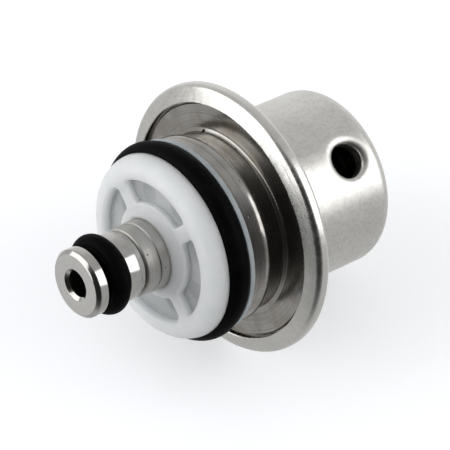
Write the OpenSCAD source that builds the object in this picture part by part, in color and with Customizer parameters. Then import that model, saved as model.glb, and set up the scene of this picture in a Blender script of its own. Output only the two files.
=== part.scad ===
// Fuel pressure regulator: a drawn steel can with a crimped diaphragm, a sprung valve,
// an inlet filter and a turned return nozzle. It stands on the closed end of its cover,
// with +Z along the axis towards the nozzle and the vent facing -Y.

/* [Sheet steel] */
// Thickness of the drawn sheet
sheet = 0.8; // [0.7:0.05:0.9]
// Diameter over the crimped flange
flange_d = 40; // [38:0.5:43]
// Reach of the crimped lip, in from the flange's edge
crimp_lip = 2.5; // [2:0.1:3]

/* [Spring cover] */
// Outside diameter of the cover
cover_d = 26; // [25:0.25:27]
// Height from the closed end to the back of the flange
cover_h = 18.85; // [17:0.25:24]
// Outside radius round the closed end
cover_corner = 2.7; // [2:0.1:3.2]
// Bend radius where the wall turns out to the flange
cover_root = 1; // [0.8:0.1:1.4]
// Diameter of the vent
vent_d = 4.9; // [3:0.1:5.5]
// Height of the vent's centre above the closed end
vent_h = 6.35; // [6:0.05:9]
// Rounding of the vent's punched edge
vent_round = 0.9; // [0.5:0.1:1.1]

/* [Inlet housing] */
// Outside diameter of the neck
neck_d = 26; // [25.6:0.1:26.4]
// Length of the neck, from flange face to bead
neck_l = 3.35; // [2.5:0.05:5]
// Bend radius between flange face and neck
neck_root = 0.97; // [0.8:0.01:1.2]
// Diameter over the bead that backs the large seal
bead_d = 27.7; // [27.5:0.1:28.2]
// Length of the bead
bead_l = 3.3; // [2.8:0.1:4]
// Diameter of the barrel under the large seal
barrel_d = 22.2; // [21.8:0.1:22.6]
// Rise of the end wall above the large seal's groove
wall_rise = 0.7; // [0.4:0.05:1]
// Outside diameter of the drawn collar round the return tube
collar_d = 10; // [9.6:0.1:10.6]
// Height of that collar above the end wall
collar_l = 6.5; // [5:0.1:9]
// Diameter of one inlet hole
inlet_d = 3; // [2.4:0.1:3.2]
// Diameter of the circle of inlet holes
inlet_circle_d = 16; // [15.6:0.1:16.4]
// Number of inlet holes
inlet_count = 8; // [6:1:8]

/* [Return tube] */
// Bore of the tube
bore_d = 3.8; // [3:0.1:4.2]
// Diameter of the neck between housing collar and nozzle
relief_d = 9.3; // [9:0.1:9.6]
// Length of that neck
relief_l = 0.9; // [0.6:0.1:1.4]
// Diameter of the nozzle's rear land
land_d = 10; // [9.6:0.1:10.6]
// Length of the rear land
land_l = 2.1; // [1.6:0.1:4]
// Diameter at the bottom of the nozzle's seal groove
groove_d = 6.8; // [6.4:0.1:8]
// Length of the seal groove
groove_l = 3.8; // [3.2:0.1:5]
// Diameter of the nozzle's head
head_d = 9.94; // [9.4:0.02:10.6]
// Length of the head
head_l = 1.9; // [1.5:0.1:3]
// Chamfer round the head's face
head_chamfer = 0.5; // [0.2:0.1:0.7]
// Diameter of the tube's stem inside the housing
stem_d = 6.6; // [6.2:0.1:7.4]

/* [Seals] */
// Section of the large seal ring
body_ring_w = 3.53; // [3:0.01:4]
// Section of the nozzle's seal ring
tube_ring_w = 2.4; // [1.8:0.1:2.8]
// Diameter of the thin backup ring
backup_d = 28.5; // [27.8:0.1:29]
// Thickness of the backup ring
backup_t = 0.5; // [0.4:0.05:1]

/* [Filter] */
// Outside diameter of the moulded filter frame
frame_d = 27.1; // [26.6:0.1:27.6]
// Radius of the frame's rounded outer ring
frame_round = 2.65; // [2.4:0.05:2.9]
// Drop from the ring's crest to the front of the spokes
spoke_drop = 0.35; // [0.2:0.05:0.5]
// Width of one spoke
spoke_w = 2.3; // [1.6:0.1:3]
// Outside diameter of the windows
window_out_d = 20.9; // [20:0.1:21]
// Inside diameter of the windows
window_in_d = 14; // [13.6:0.1:14.6]
// Corner radius of the windows
window_corner = 0.7; // [0.4:0.05:1]
// Diameter of the raised hub
hub_d = 12.6; // [12.2:0.1:13.2]
// Height of the hub above the spokes
hub_rise = 1; // [0.5:0.05:1.5]
// Thickness of the woven screen
screen_t = 0.15; // [0.1:0.01:0.25]
// Angle that the filter is turned to on the housing
filter_turn = 0; // [-20:0.5:20]

/* [Diaphragm and valve] */
// Thickness of the diaphragm
diaphragm_t = 0.5; // [0.4:0.05:0.7]
// Drop from the diaphragm's rim to its centre
centre_drop = 1.5; // [1:0.1:2]
// Diameter of the spring plate
plate_d = 19.1; // [18.7:0.1:19.4]
// Depth of the spring plate's skirt
plate_skirt = 2.6; // [1.6:0.1:4]
// Diameter of the clamp plate on the fuel side
clamp_d = 15; // [12:0.5:17]
// Thickness of the clamp plate
clamp_t = 0.6; // [0.5:0.05:1]
// Diameter of the valve holder's head
holder_d = 9.2; // [8.6:0.1:9.8]
// Diameter of the valve holder's shank
shank_d = 5.2; // [4.8:0.1:5.8]
// Diameter of the valve ball
ball_d = 6.35; // [6:0.05:6.8]
// Diameter of the flat ground on the ball
flat_d = 5.4; // [5:0.1:5.6]

/* [Springs] */
// Wire of the main spring
spring_wire = 1.7; // [1.2:0.1:1.8]
// Outside diameter of the main spring
spring_d = 16.9; // [16.6:0.1:17.1]
// Turns of the main spring, with its closed ends
spring_turns = 6.5; // [5:0.5:7]
// Wire of the small spring under the ball
ball_spring_wire = 0.3; // [0.2:0.05:0.35]
// Outside diameter of the small spring
ball_spring_d = 2.6; // [2.2:0.1:2.8]

/* [Hidden] */
$fn = 120;

// Steps along each round stretch of a profile
arc_steps = 10;
// Steps round the corner of a filter window
corner_steps = 5;
// Gap of a pressed or seated fit
fit = 0.02;
// Gap of a piece that runs or is laid in place
running = 0.05;
// Gap between diaphragm and the walls beside it
roll_gap = 0.22;
// Gap between the shut valve and its seat
seat_gap = 0.01;
// Length by which a cut passes its solid
past = 1;

// Radii of the sheet steel shells
rim_r = flange_d / 2;
cover_r = cover_d / 2;
cover_in_r = cover_r - sheet;
lip_r = rim_r - crimp_lip;
curl_r = (3 * sheet + diaphragm_t) / 2;
curl_c = rim_r - curl_r;
pinched_r = curl_c - running;
neck_r = neck_d / 2;
barrel_r = barrel_d / 2;
collar_r = collar_d / 2;
collar_in_r = collar_r - sheet;
vent_r = vent_d / 2;
vent_collar_r = vent_r + 0.55;
vent_collar_l = 1.5;

// Heights through the crimped flange
z_clamp = cover_h + sheet;
z_joint = z_clamp + diaphragm_t;
z_face = z_joint + sheet;
z_lip = z_face + sheet;
z_rim = (cover_h + z_lip) / 2;

// Heights up the housing
bead_sag = 0.4;
bead_radius = (pow(bead_l / 2, 2) + pow(bead_sag, 2)) / (2 * bead_sag);
bead_axis_r = bead_d / 2 - bead_radius;
z_bead = z_face + neck_l;
z_shoulder = z_bead + bead_l;
z_groove_end = z_shoulder + backup_t + body_ring_w + 2 * running;
z_wall = z_groove_end + wall_rise;
z_collar = z_wall + collar_l;
groove_root = 0.3;
nose_r = sheet + 0.4;
collar_root = 0.6;
collar_end_round = 0.3;
foot_rise = 0.15;

// Heights and radii of the nozzle
z_land = z_collar + relief_l;
z_groove = z_land + land_l;
z_head = z_groove + groove_l;
z_face_end = z_head + head_l;
bore_r = bore_d / 2;
mouth_chamfer = 0.45;
land_edge = 0.25;
shank_top_r = collar_in_r - fit;
tube_ring_r = groove_d / 2 + tube_ring_w / 2;
body_ring_r = barrel_r + body_ring_w / 2;

// Filter
crest_r = frame_d / 2 - frame_round;
z_crest = z_groove_end + frame_round;
z_spoke = z_crest - spoke_drop;
z_hub = z_spoke + hub_rise;
z_frame_seat = z_wall + fit;
hub_in_r = collar_r + foot_rise + running;
hub_round = 0.35;
crest_from = 110;
screen_lift = 0.35;
screen_bite = 0.4;
z_screen = z_frame_seat + screen_lift;
screen_out_r = min(window_out_d / 2 + screen_bite, barrel_r - fit);
screen_in_r = window_in_d / 2 - screen_bite;
spoke_count = 4;

// Diaphragm
z_mid = z_clamp + diaphragm_t / 2 - centre_drop;
leg_in_r = plate_d / 2 + roll_gap + diaphragm_t / 2;
leg_out_r = cover_in_r - roll_gap - diaphragm_t / 2;
roll_r = (leg_out_r - leg_in_r) / 2;
roll_c = (leg_out_r + leg_in_r) / 2;
bend_in = 0.6;
bend_out = cover_root + sheet;
leg_l = 0.6;
z_roll = z_mid - bend_in - leg_l;

// Valve
z_plate_top = z_mid - diaphragm_t / 2;
z_plate = z_plate_top - sheet;
z_clamp_plate = z_mid + diaphragm_t / 2;
z_holder_head = z_clamp_plate + clamp_t;
ball_r = ball_d / 2;
shank_r = shank_d / 2;
holder_wall = 0.9;
ball_lift = sqrt(pow(ball_r + running, 2) - pow(shank_r - holder_wall, 2));
z_ball = z_holder_head + ball_lift;
flat_h = sqrt(pow(ball_r, 2) - pow(flat_d / 2, 2));
mouth_h = 1;
z_mouth = z_ball + mouth_h;
z_seat = z_ball + flat_h + seat_gap;
seat_r = bore_r + 0.5;
seat_taper = 0.9;
holder_r = holder_d / 2;
rivet_r = shank_r + 1;
rivet_h = 0.8;
pocket_r = ball_spring_d / 2 + 0.2;
pocket_floor = 0.4;
z_pocket = z_plate - rivet_h + pocket_floor;
plate_bend = sheet + 0.2;
retainer_t = 0.4;
retainer_skirt = 1;

// Springs
seat_ring_r = spring_d / 2 + 0.55;
seat_boss_r = spring_d / 2 - spring_wire - 0.35;
seat_boss_h = 1.4;
z_spring = 2 * sheet;
ball_spring_r = ball_spring_d / 2;
z_ball_spring_top = z_ball - sqrt(pow(ball_r, 2) - pow(ball_spring_r - ball_spring_wire, 2)) - running;

// Points along an arc round c, from angle a to angle b
function arc(c, r, a, b, steps = arc_steps) =
    [for (i = [0:steps]) let (t = a + (b - a) * i / steps) c + r * [cos(t), sin(t)]];

// The same arc without its last point, for an outline that runs straight on into another arc
function open_arc(c, r, a, b, steps = arc_steps) =
    [for (i = [0:steps - 1]) let (t = a + (b - a) * i / steps) c + r * [cos(t), sin(t)]];

// Outline of one filter window, between a spoke along +X and one along +Y
function window_outline() =
    let (
        c = window_corner,
        side = spoke_w / 2 + c,
        far_r = window_out_d / 2,
        near_r = window_in_d / 2,
        far = [sqrt(pow(far_r - c, 2) - side * side), side],
        near = [sqrt(pow(near_r + c, 2) - side * side), side],
        far_a = atan2(far[1], far[0]),
        near_a = atan2(near[1], near[0])
    )
    concat(
        open_arc(far, c, -90, far_a, corner_steps),
        open_arc([0, 0], far_r, far_a, 90 - far_a),
        arc([far[1], far[0]], c, 90 - far_a, 180, corner_steps),
        open_arc([near[1], near[0]], c, 180, 270 - near_a, corner_steps),
        open_arc([0, 0], near_r, 90 - near_a, near_a),
        arc(near, c, 180 + near_a, 270, corner_steps)
    );

// Height of a closed-end coil's wire centre after t turns, as a share of the wire and pitch
function coil_rise(t, turns, closed, pitch) =
    closed * min(t, 1) + pitch * max(0, min(t, turns - 1) - 1) + closed * max(0, t - turns + 1);

// A compression spring between two heights, with closed ends ground flat
module coil_spring(outer_r, wire, turns, z0, z1, per_turn, sides) {
    wire_r = wire / 2;
    mean_r = outer_r - wire_r;
    tip = 0.3 * wire;
    closed = 1.04 * wire;
    pitch = (z1 - z0 - 2 * tip - 2 * closed) / (turns - 2);
    rings = round(turns * per_turn);
    points = [
        for (i = [0:rings], j = [0:sides - 1])
            let (
                t = turns * i / rings,
                r = mean_r + wire_r * cos(360 * j / sides),
                z = z0 + tip + coil_rise(t, turns, closed, pitch) + wire_r * sin(360 * j / sides)
            )
            [r * cos(360 * t), r * sin(360 * t), min(z1, max(z0, z))]
    ];
    walls = [
        for (i = [0:rings - 1], j = [0:sides - 1], half = [0, 1])
            let (
                a = i * sides + j,
                b = i * sides + (j + 1) % sides
            )
            half == 0 ? [a, b, b + sides] : [a, b + sides, a + sides]
    ];
    start_cap = [for (j = [sides - 1:-1:0]) j];
    end_cap = [for (j = [0:sides - 1]) rings * sides + j];
    polyhedron(points, concat([start_cap], walls, [end_cap]));
}

// A seal ring of round section
module o_ring(centre_r, section, z) {
    translate([0, 0, z])
        rotate_extrude()
            translate([centre_r, 0])
                circle(d = section, $fn = 48);
}

// Section of the cover: closed end, wall, flange and the lip crimped over the housing
module cover_section() {
    corner = [cover_r - cover_corner, cover_corner];
    root = [cover_r + cover_root, cover_h - cover_root];
    curl = [curl_c, z_rim];
    polygon(concat(
        [[0, 0]],
        arc(corner, cover_corner, -90, 0),
        arc(root, cover_root, 180, 90),
        arc(curl, curl_r, -90, 90),
        [[lip_r, z_lip], [lip_r, z_face]],
        arc(curl, curl_r - sheet, 90, -90),
        arc(root, cover_root + sheet, 90, 180),
        arc(corner, cover_corner - sheet, 0, -90),
        [[0, sheet]]
    ));
}

// The vent's cut, with its mouth rounded in from the wall
module vent_cut() {
    polygon(concat(
        [[0, past], [vent_r + vent_round, past]],
        arc([vent_r + vent_round, -vent_round], vent_round, 90, 180),
        [[vent_r, -vent_collar_l - past], [0, -vent_collar_l - past]]
    ));
}

module spring_cover() {
    color("silver")
        difference() {
            union() {
                rotate_extrude() cover_section();
                intersection() {
                    translate([0, -cover_r, vent_h])
                        rotate([-90, 0, 0])
                            cylinder(r = vent_collar_r, h = vent_collar_l);
                    cylinder(r = cover_r - sheet / 2, h = cover_h);
                }
            }
            translate([0, -cover_r, vent_h])
                rotate([90, 0, 0])
                    rotate_extrude() vent_cut();
        }
}

// Section of the housing: flange, neck, bead, seal barrel, end wall and drawn collar
module housing_section() {
    root = [neck_r + neck_root, z_face + neck_root];
    bead = [bead_axis_r, z_bead + bead_l / 2];
    bead_a = asin(bead_l / 2 / bead_radius);
    bead_in_a = asin((bead_l / 2 - sheet) / (bead_radius - sheet));
    groove = [barrel_r + groove_root, z_shoulder + groove_root];
    nose = [barrel_r - nose_r, z_wall - nose_r];
    foot_r = collar_r + foot_rise;
    foot = [foot_r + collar_root, z_wall + collar_root];
    tip = [collar_r - collar_end_round, z_collar - collar_end_round];
    polygon(concat(
        [[pinched_r, z_joint], [pinched_r, z_face]],
        arc(root, neck_root, 270, 180),
        [[neck_r, z_bead]],
        arc(bead, bead_radius, -bead_a, bead_a),
        arc(groove, groove_root, 270, 180),
        arc(nose, nose_r, 0, 90),
        arc(foot, collar_root, 270, 180),
        [[foot_r, z_hub + foot_rise], [collar_r, z_hub + 2 * foot_rise]],
        arc(tip, collar_end_round, 0, 90),
        [[collar_in_r, z_collar]],
        arc(foot, foot_r + collar_root - collar_in_r, 180, 270),
        arc(nose, nose_r - sheet, 90, 0),
        arc(groove, groove_root + sheet, 180, 270),
        arc(bead, bead_radius - sheet, bead_in_a, -bead_in_a),
        [[neck_r - sheet, z_bead + sheet]],
        arc(root, neck_root + sheet, 180, 270)
    ));
}

module inlet_housing() {
    color("darkgray")
        difference() {
            rotate_extrude() housing_section();
            for (i = [0:inlet_count - 1])
                rotate([0, 0, filter_turn + (i + 0.5) * 360 / inlet_count])
                    translate([inlet_circle_d / 2, 0, z_wall - sheet - past])
                        cylinder(d = inlet_d, h = sheet + 2 * past, $fn = 48);
        }
}

module return_tube() {
    head_r = head_d / 2;
    shank_start = z_wall - sheet;
    color("gainsboro")
        rotate_extrude()
            polygon([
                [bore_r, z_seat],
                [seat_r, z_seat],
                [stem_d / 2, z_seat + seat_taper],
                [stem_d / 2, shank_start],
                [shank_top_r, shank_start + shank_top_r - stem_d / 2],
                [shank_top_r, z_collar + fit],
                [relief_d / 2, z_collar + fit],
                [relief_d / 2, z_land],
                [land_d / 2 - land_edge, z_land],
                [land_d / 2, z_land + land_edge],
                [land_d / 2, z_groove - land_edge / 2],
                [land_d / 2 - land_edge / 2, z_groove],
                [groove_d / 2, z_groove],
                [groove_d / 2, z_head],
                [head_r - land_edge / 2, z_head],
                [head_r, z_head + land_edge / 2],
                [head_r, z_face_end - head_chamfer],
                [head_r - head_chamfer, z_face_end],
                [bore_r + mouth_chamfer, z_face_end],
                [bore_r, z_face_end - mouth_chamfer]
            ]);
}

module tube_o_ring() {
    color("black") o_ring(tube_ring_r + fit, tube_ring_w, z_groove + tube_ring_w / 2 + running);
}

module body_o_ring() {
    color("black") o_ring(body_ring_r + fit, body_ring_w, z_groove_end - running - body_ring_w / 2);
}

module backup_ring() {
    color("lightsteelblue")
        translate([0, 0, z_shoulder + fit])
            difference() {
                cylinder(d = backup_d, h = backup_t);
                translate([0, 0, -past])
                    cylinder(r = barrel_r + groove_root + running, h = backup_t + 2 * past);
            }
}

// Section of the filter frame: hub, spokes and rounded outer ring
module frame_section() {
    crest = [crest_r, z_groove_end];
    polygon(concat(
        [[hub_in_r + collar_root, z_frame_seat], [hub_in_r, z_frame_seat + collar_root], [hub_in_r, z_hub]],
        arc([hub_d / 2 - hub_round, z_hub - hub_round], hub_round, 90, 0),
        [[hub_d / 2, z_spoke], [crest_r + frame_round * cos(crest_from) - spoke_drop, z_spoke]],
        arc(crest, frame_round, crest_from, 0),
        [[barrel_r + fit, z_groove_end], [barrel_r + fit, z_frame_seat]]
    ));
}

module screen_disc() {
    translate([0, 0, z_screen])
        difference() {
            cylinder(r = screen_out_r, h = screen_t);
            translate([0, 0, -past])
                cylinder(r = screen_in_r, h = screen_t + 2 * past);
        }
}

module filter_frame() {
    color("white")
        difference() {
            rotate_extrude() frame_section();
            for (i = [0:spoke_count - 1])
                rotate([0, 0, filter_turn + i * 360 / spoke_count])
                    translate([0, 0, z_frame_seat - past])
                        linear_extrude(z_crest - z_frame_seat + 2 * past)
                            polygon(window_outline());
            screen_disc();
        }
}

module filter_screen() {
    color("lightgray") screen_disc();
}

// Section of the diaphragm: clamped rim, rolled convolution and flat centre
module diaphragm_section() {
    half = diaphragm_t / 2;
    inner = [leg_in_r - bend_in, z_mid - bend_in];
    roll = [roll_c, z_roll];
    outer = [leg_out_r + bend_out, z_clamp + half - bend_out];
    polygon(concat(
        [[shank_r + running, z_mid + half]],
        arc(inner, bend_in + half, 90, 0),
        arc(roll, roll_r - half, 180, 360),
        arc(outer, bend_out + half, 180, 90),
        [[pinched_r, z_joint], [pinched_r, z_clamp]],
        arc(outer, bend_out - half, 90, 180),
        arc(roll, roll_r + half, 360, 180),
        arc(inner, bend_in - half, 0, 90),
        [[shank_r + running, z_mid - half]]
    ));
}

module diaphragm() {
    color("saddlebrown") rotate_extrude() diaphragm_section();
}

module spring_plate() {
    edge = plate_d / 2;
    bend = [edge - plate_bend, z_plate_top - plate_bend];
    color("darkkhaki")
        rotate_extrude()
            polygon(concat(
                [[shank_r + fit, z_plate], [shank_r + fit, z_plate_top]],
                arc(bend, plate_bend, 90, 0),
                [[edge, z_plate - plate_skirt], [edge - sheet, z_plate - plate_skirt]],
                arc(bend, plate_bend - sheet, 0, 90)
            ));
}

module clamp_plate() {
    color("darkkhaki")
        translate([0, 0, z_clamp_plate])
            difference() {
                cylinder(d = clamp_d, h = clamp_t);
                translate([0, 0, -past])
                    cylinder(r = shank_r + fit, h = clamp_t + 2 * past);
            }
}

module valve_holder() {
    color("goldenrod")
        difference() {
            union() {
                translate([0, 0, z_plate - rivet_h])
                    cylinder(r = rivet_r, h = rivet_h);
                translate([0, 0, z_plate - rivet_h])
                    cylinder(r = shank_r, h = z_holder_head - z_plate + rivet_h);
                translate([0, 0, z_holder_head])
                    cylinder(r = holder_r, h = z_mouth - z_holder_head);
            }
            translate([0, 0, z_ball])
                sphere(r = ball_r + running);
            translate([0, 0, z_ball])
                cylinder(r = ball_r + running, h = mouth_h + past);
            translate([0, 0, z_pocket])
                cylinder(r = pocket_r, h = z_ball - z_pocket);
        }
}

module valve_ball() {
    color("lightslategray")
        translate([0, 0, z_ball])
            difference() {
                sphere(r = ball_r);
                translate([0, 0, flat_h])
                    cylinder(r = ball_r, h = ball_r);
            }
}

// Stamped cap that closes over the ball's shoulder and grips the holder's head
module ball_retainer() {
    hold_low_r = sqrt(pow(ball_r, 2) - pow(mouth_h, 2)) + running;
    hold_high_r = sqrt(pow(ball_r, 2) - pow(mouth_h + retainer_t, 2)) + running;
    skirt_r = holder_r + fit;
    color("khaki")
        rotate_extrude()
            polygon([
                [hold_low_r, z_mouth],
                [skirt_r, z_mouth],
                [skirt_r, z_mouth - retainer_skirt],
                [skirt_r + retainer_t, z_mouth - retainer_skirt],
                [skirt_r + retainer_t, z_mouth + retainer_t],
                [hold_high_r, z_mouth + retainer_t]
            ]);
}

module ball_spring() {
    color("dimgray")
        coil_spring(ball_spring_r, ball_spring_wire, 3, z_pocket, z_ball_spring_top, 16, 6);
}

module main_spring() {
    color("dimgray")
        coil_spring(spring_d / 2, spring_wire, spring_turns, z_spring, z_plate, 24, 12);
}

// Stamped seat that centres the main spring on the cover's closed end
module spring_seat() {
    color("darkkhaki")
        rotate_extrude()
            polygon([
                [0, z_spring + seat_boss_h - sheet],
                [seat_boss_r - sheet, z_spring + seat_boss_h - sheet],
                [seat_boss_r - sheet, sheet],
                [seat_ring_r, sheet],
                [seat_ring_r, z_spring],
                [seat_boss_r, z_spring],
                [seat_boss_r, z_spring + seat_boss_h],
                [0, z_spring + seat_boss_h]
            ]);
}

spring_cover();
inlet_housing();
return_tube();
tube_o_ring();
body_o_ring();
backup_ring();
filter_frame();
filter_screen();
diaphragm();
spring_plate();
clamp_plate();
valve_holder();
valve_ball();
ball_retainer();
ball_spring();
main_spring();
spring_seat();
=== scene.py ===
import math

import bmesh
import bpy
from mathutils import Matrix, Vector, geometry, noise


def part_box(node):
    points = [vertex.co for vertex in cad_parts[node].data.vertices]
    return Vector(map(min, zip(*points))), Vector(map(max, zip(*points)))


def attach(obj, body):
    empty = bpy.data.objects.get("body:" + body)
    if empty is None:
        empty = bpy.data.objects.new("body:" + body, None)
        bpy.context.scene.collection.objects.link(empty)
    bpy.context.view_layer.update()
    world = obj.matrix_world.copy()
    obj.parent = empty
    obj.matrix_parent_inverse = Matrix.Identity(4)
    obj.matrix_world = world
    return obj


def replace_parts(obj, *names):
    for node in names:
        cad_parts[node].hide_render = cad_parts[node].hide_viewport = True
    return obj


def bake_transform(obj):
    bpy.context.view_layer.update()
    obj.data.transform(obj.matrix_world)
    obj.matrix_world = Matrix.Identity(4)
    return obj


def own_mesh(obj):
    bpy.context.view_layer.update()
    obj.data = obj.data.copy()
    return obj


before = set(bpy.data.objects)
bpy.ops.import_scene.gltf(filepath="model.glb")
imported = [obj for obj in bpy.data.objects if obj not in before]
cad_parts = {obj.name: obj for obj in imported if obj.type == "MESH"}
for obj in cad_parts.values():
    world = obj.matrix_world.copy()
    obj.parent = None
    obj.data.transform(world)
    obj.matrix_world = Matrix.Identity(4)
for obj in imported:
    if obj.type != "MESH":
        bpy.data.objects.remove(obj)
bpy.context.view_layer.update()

# Fuel pressure regulator: a crimped drawn-steel can with a moulded inlet filter, seal rings and a
# turned nozzle. Sizes are in millimetres, in the part's own frame: +Z along the axis, z = 0 at the
# cover's closed end.

MM = 0.001
BODY = "regulator_body"
SEGMENTS = 256
IMAGE_SIZE = 450
CLEAR = 0.02
SMALL_EDGE = 0.12


def top_of(node):
    """Height of a node's top, in mm."""
    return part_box(node)[1].z / MM


def base_of(node):
    """Height of a node's underside, in mm."""
    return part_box(node)[0].z / MM


def radius_of(node):
    """Greatest radius of a round node, in mm."""
    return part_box(node)[1].x / MM


# Sheet steel, cover and flange
SHEET = 0.8
FLANGE_R = radius_of("spring_cover")
COVER_R = 13.0
COVER_H = 18.85
COVER_CORNER = 2.7
COVER_ROOT = 1.0
Z_LIP = top_of("spring_cover")
Z_FACE = Z_LIP - SHEET
Z_CLAMP = COVER_H + SHEET
CURL = (Z_LIP - COVER_H) / 2
RIM_ROUND = 0.95
RIM_BACK_ROUND = 1.0

# Crimped lip, with its sheared edge and the gap under it
LIP_R = 17.5
LIP_GAP = 0.55
LIP_TILT = math.radians(17)
LIP_SHEAR = 0.12
LIP_SHEAR_DEEP = 0.12
LIP_WANDER = 0.07
LIP_WAVES = 6
BURR_OUT = 0.03
BURR_DROP = 0.06
BURR_REACH = 0.6
BURR_WAVES = 50

# Vent
VENT_R = 2.45
VENT_H = 6.35
VENT_DISH = 1.45
VENT_DISH_DEEP = 0.8
VENT_REACH = 1.5
VENT_WALL = 0.55
VENT_ROOT = 0.15

# Housing
PINCHED_R = radius_of("inlet_housing")
Z_JOINT = base_of("inlet_housing")
NECK_R = 13.0
NECK_ROOT = 0.75
Z_BEAD = Z_FACE + 3.35
BEAD_L = 3.3
BEAD_R = 13.85
BEAD_EDGE = 0.4
BEAD_CREST = 0.85
BEAD_CREST_ROUND = 2.4
BEAD_FRONT_R = 13.08
BEAD_INNER_R = 13.05 - SHEET / 2
Z_SHOULDER = Z_BEAD + BEAD_L
BARREL_R = 11.1
SCREEN_STAND_OFF = 0.37
Z_WALL = base_of("filter_screen") - SCREEN_STAND_OFF
WALL_ROUND = 1.2
COLLAR_R = 5.0
COLLAR_ROOT = 0.6
COLLAR_BORE = COLLAR_R - SHEET
Z_COLLAR = top_of("inlet_housing")
FOOT_RISE = 0.13
FOOT_SHARE = 0.38
INLET_COUNT = 8
INLET_R = 1.5
INLET_CIRCLE = 8.0
PRESSED = 0.4
PRESSED_IN = 0.25
PRESSED_OUT = 0.4
NICK_R = 0.42
NICK_L = 1.0
NICK_TURN = math.radians(-23)
SLIVER = 0.002

# Backup ring
BACKUP_CUP = 0.35
BACKUP_CLEAR = 0.35
BACKUP_EDGE = 0.35
BACKUP_BEND = 0.9

# Filter
FRAME_R = radius_of("filter_frame")
FRAME_ROUND = 2.65
CREST_R = FRAME_R - FRAME_ROUND
Z_FRAME_BACK = base_of("filter_frame")
Z_CREST = Z_FRAME_BACK + FRAME_ROUND
SPOKE_SINK = 0.35
Z_SPOKE = Z_CREST - SPOKE_SINK
Z_HUB = top_of("filter_frame")
Z_FRAME_SEAT = Z_WALL + CLEAR
HUB_R = 6.3
HUB_FOOT_R = HUB_R + 0.4
HUB_BORE = COLLAR_R + FOOT_RISE + 0.05
HUB_EDGE = 0.2
WINDOW_OUT = 10.45
WINDOW_IN = 7.0
WINDOW_CORNER = 0.7
SPOKE_W = 2.3
SPOKES = 4
EDGE_ROUND = 0.3
BACK_EDGE = 0.35
BORE_CHAMFER = 0.6
FRAME_STEPS = 180

# Nozzle
Z_TIP = top_of("return_tube")
Z_SEAT = base_of("return_tube")
BORE_R = 1.9
HEAD_R = 4.97
LAND_R = 5.0
RELIEF_R = 4.65
GROOVE_R = 3.4
STEM_R = 3.3
TIP_CHAMFER = 0.5
MOUTH_CHAMFER = 0.45
SEAT_RIM = 0.5
SEAT_CONE = 0.9
RING_PRESSED = 0.12
HEAD_L = 1.9
GROOVE_L = 3.8
LAND_L = 2.1
Z_HEAD = Z_TIP - HEAD_L
Z_GROOVE = Z_HEAD - GROOVE_L
Z_LAND = Z_GROOVE - LAND_L


# Finishes

def linear(code):
    """An sRGB hex colour as linear RGBA."""
    parts = [int(code[i:i + 2], 16) / 255 for i in (1, 3, 5)]
    return [c / 12.92 if c <= 0.04045 else ((c + 0.055) / 1.055) ** 2.4 for c in parts] + [1.0]


def add(tree, kind, inputs=None, out=0, **settings):
    """Adds a node and gives one of its outputs, or the node itself where out is None. Settings are the
    node's own, inputs are values or the sockets they come from."""
    made = tree.nodes.new(kind)
    for key, value in settings.items():
        setattr(made, key, value)
    for key, value in (inputs or {}).items():
        if isinstance(value, bpy.types.NodeSocket):
            tree.links.new(value, made.inputs[key])
        else:
            made.inputs[key].default_value = value
    return made if out is None else made.outputs[out]


def new_finish(name, **sockets):
    """A material with its constants set on the shader. Returns the material, its tree and its shader."""
    material = bpy.data.materials.new(name)
    material.use_nodes = True
    shader = material.node_tree.nodes["Principled BSDF"]
    for key, value in sockets.items():
        shader.inputs[key.replace("_", " ")].default_value = value
    return material, material.node_tree, shader


def wire(tree, shader, **sockets):
    """Links what varies over the surface to the shader."""
    for key, value in sockets.items():
        tree.links.new(value, shader.inputs[key.replace("_", " ")])


def millimetres(tree):
    """Object coordinates in mm."""
    place = add(tree, "ShaderNodeTexCoord", out="Object")
    return add(tree, "ShaderNodeVectorMath", {0: place, "Scale": 1 / MM}, operation="SCALE")


def axis_distance(tree, place):
    """Distance from the part's axis."""
    flat = add(tree, "ShaderNodeVectorMath", {0: place, 1: (1, 1, 0)}, operation="MULTIPLY")
    return add(tree, "ShaderNodeVectorMath", {0: flat}, operation="LENGTH", out="Value")


def round_axis(tree, place, across, along, about):
    """Coordinates that follow a turned piece: radius, height and angle, each divided by a size in mm or
    in turns."""
    parts = add(tree, "ShaderNodeSeparateXYZ", {0: place}, out=None).outputs
    angle = add(tree, "ShaderNodeMath", {0: parts[1], 1: parts[0]}, operation="ARCTAN2")
    joined = add(tree, "ShaderNodeCombineXYZ", {0: axis_distance(tree, place), 1: parts[2], 2: angle})
    sizes = (1 / across, 1 / along, 1 / (2 * math.pi * about))
    return add(tree, "ShaderNodeVectorMath", {0: joined, 1: sizes}, operation="MULTIPLY")


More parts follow.
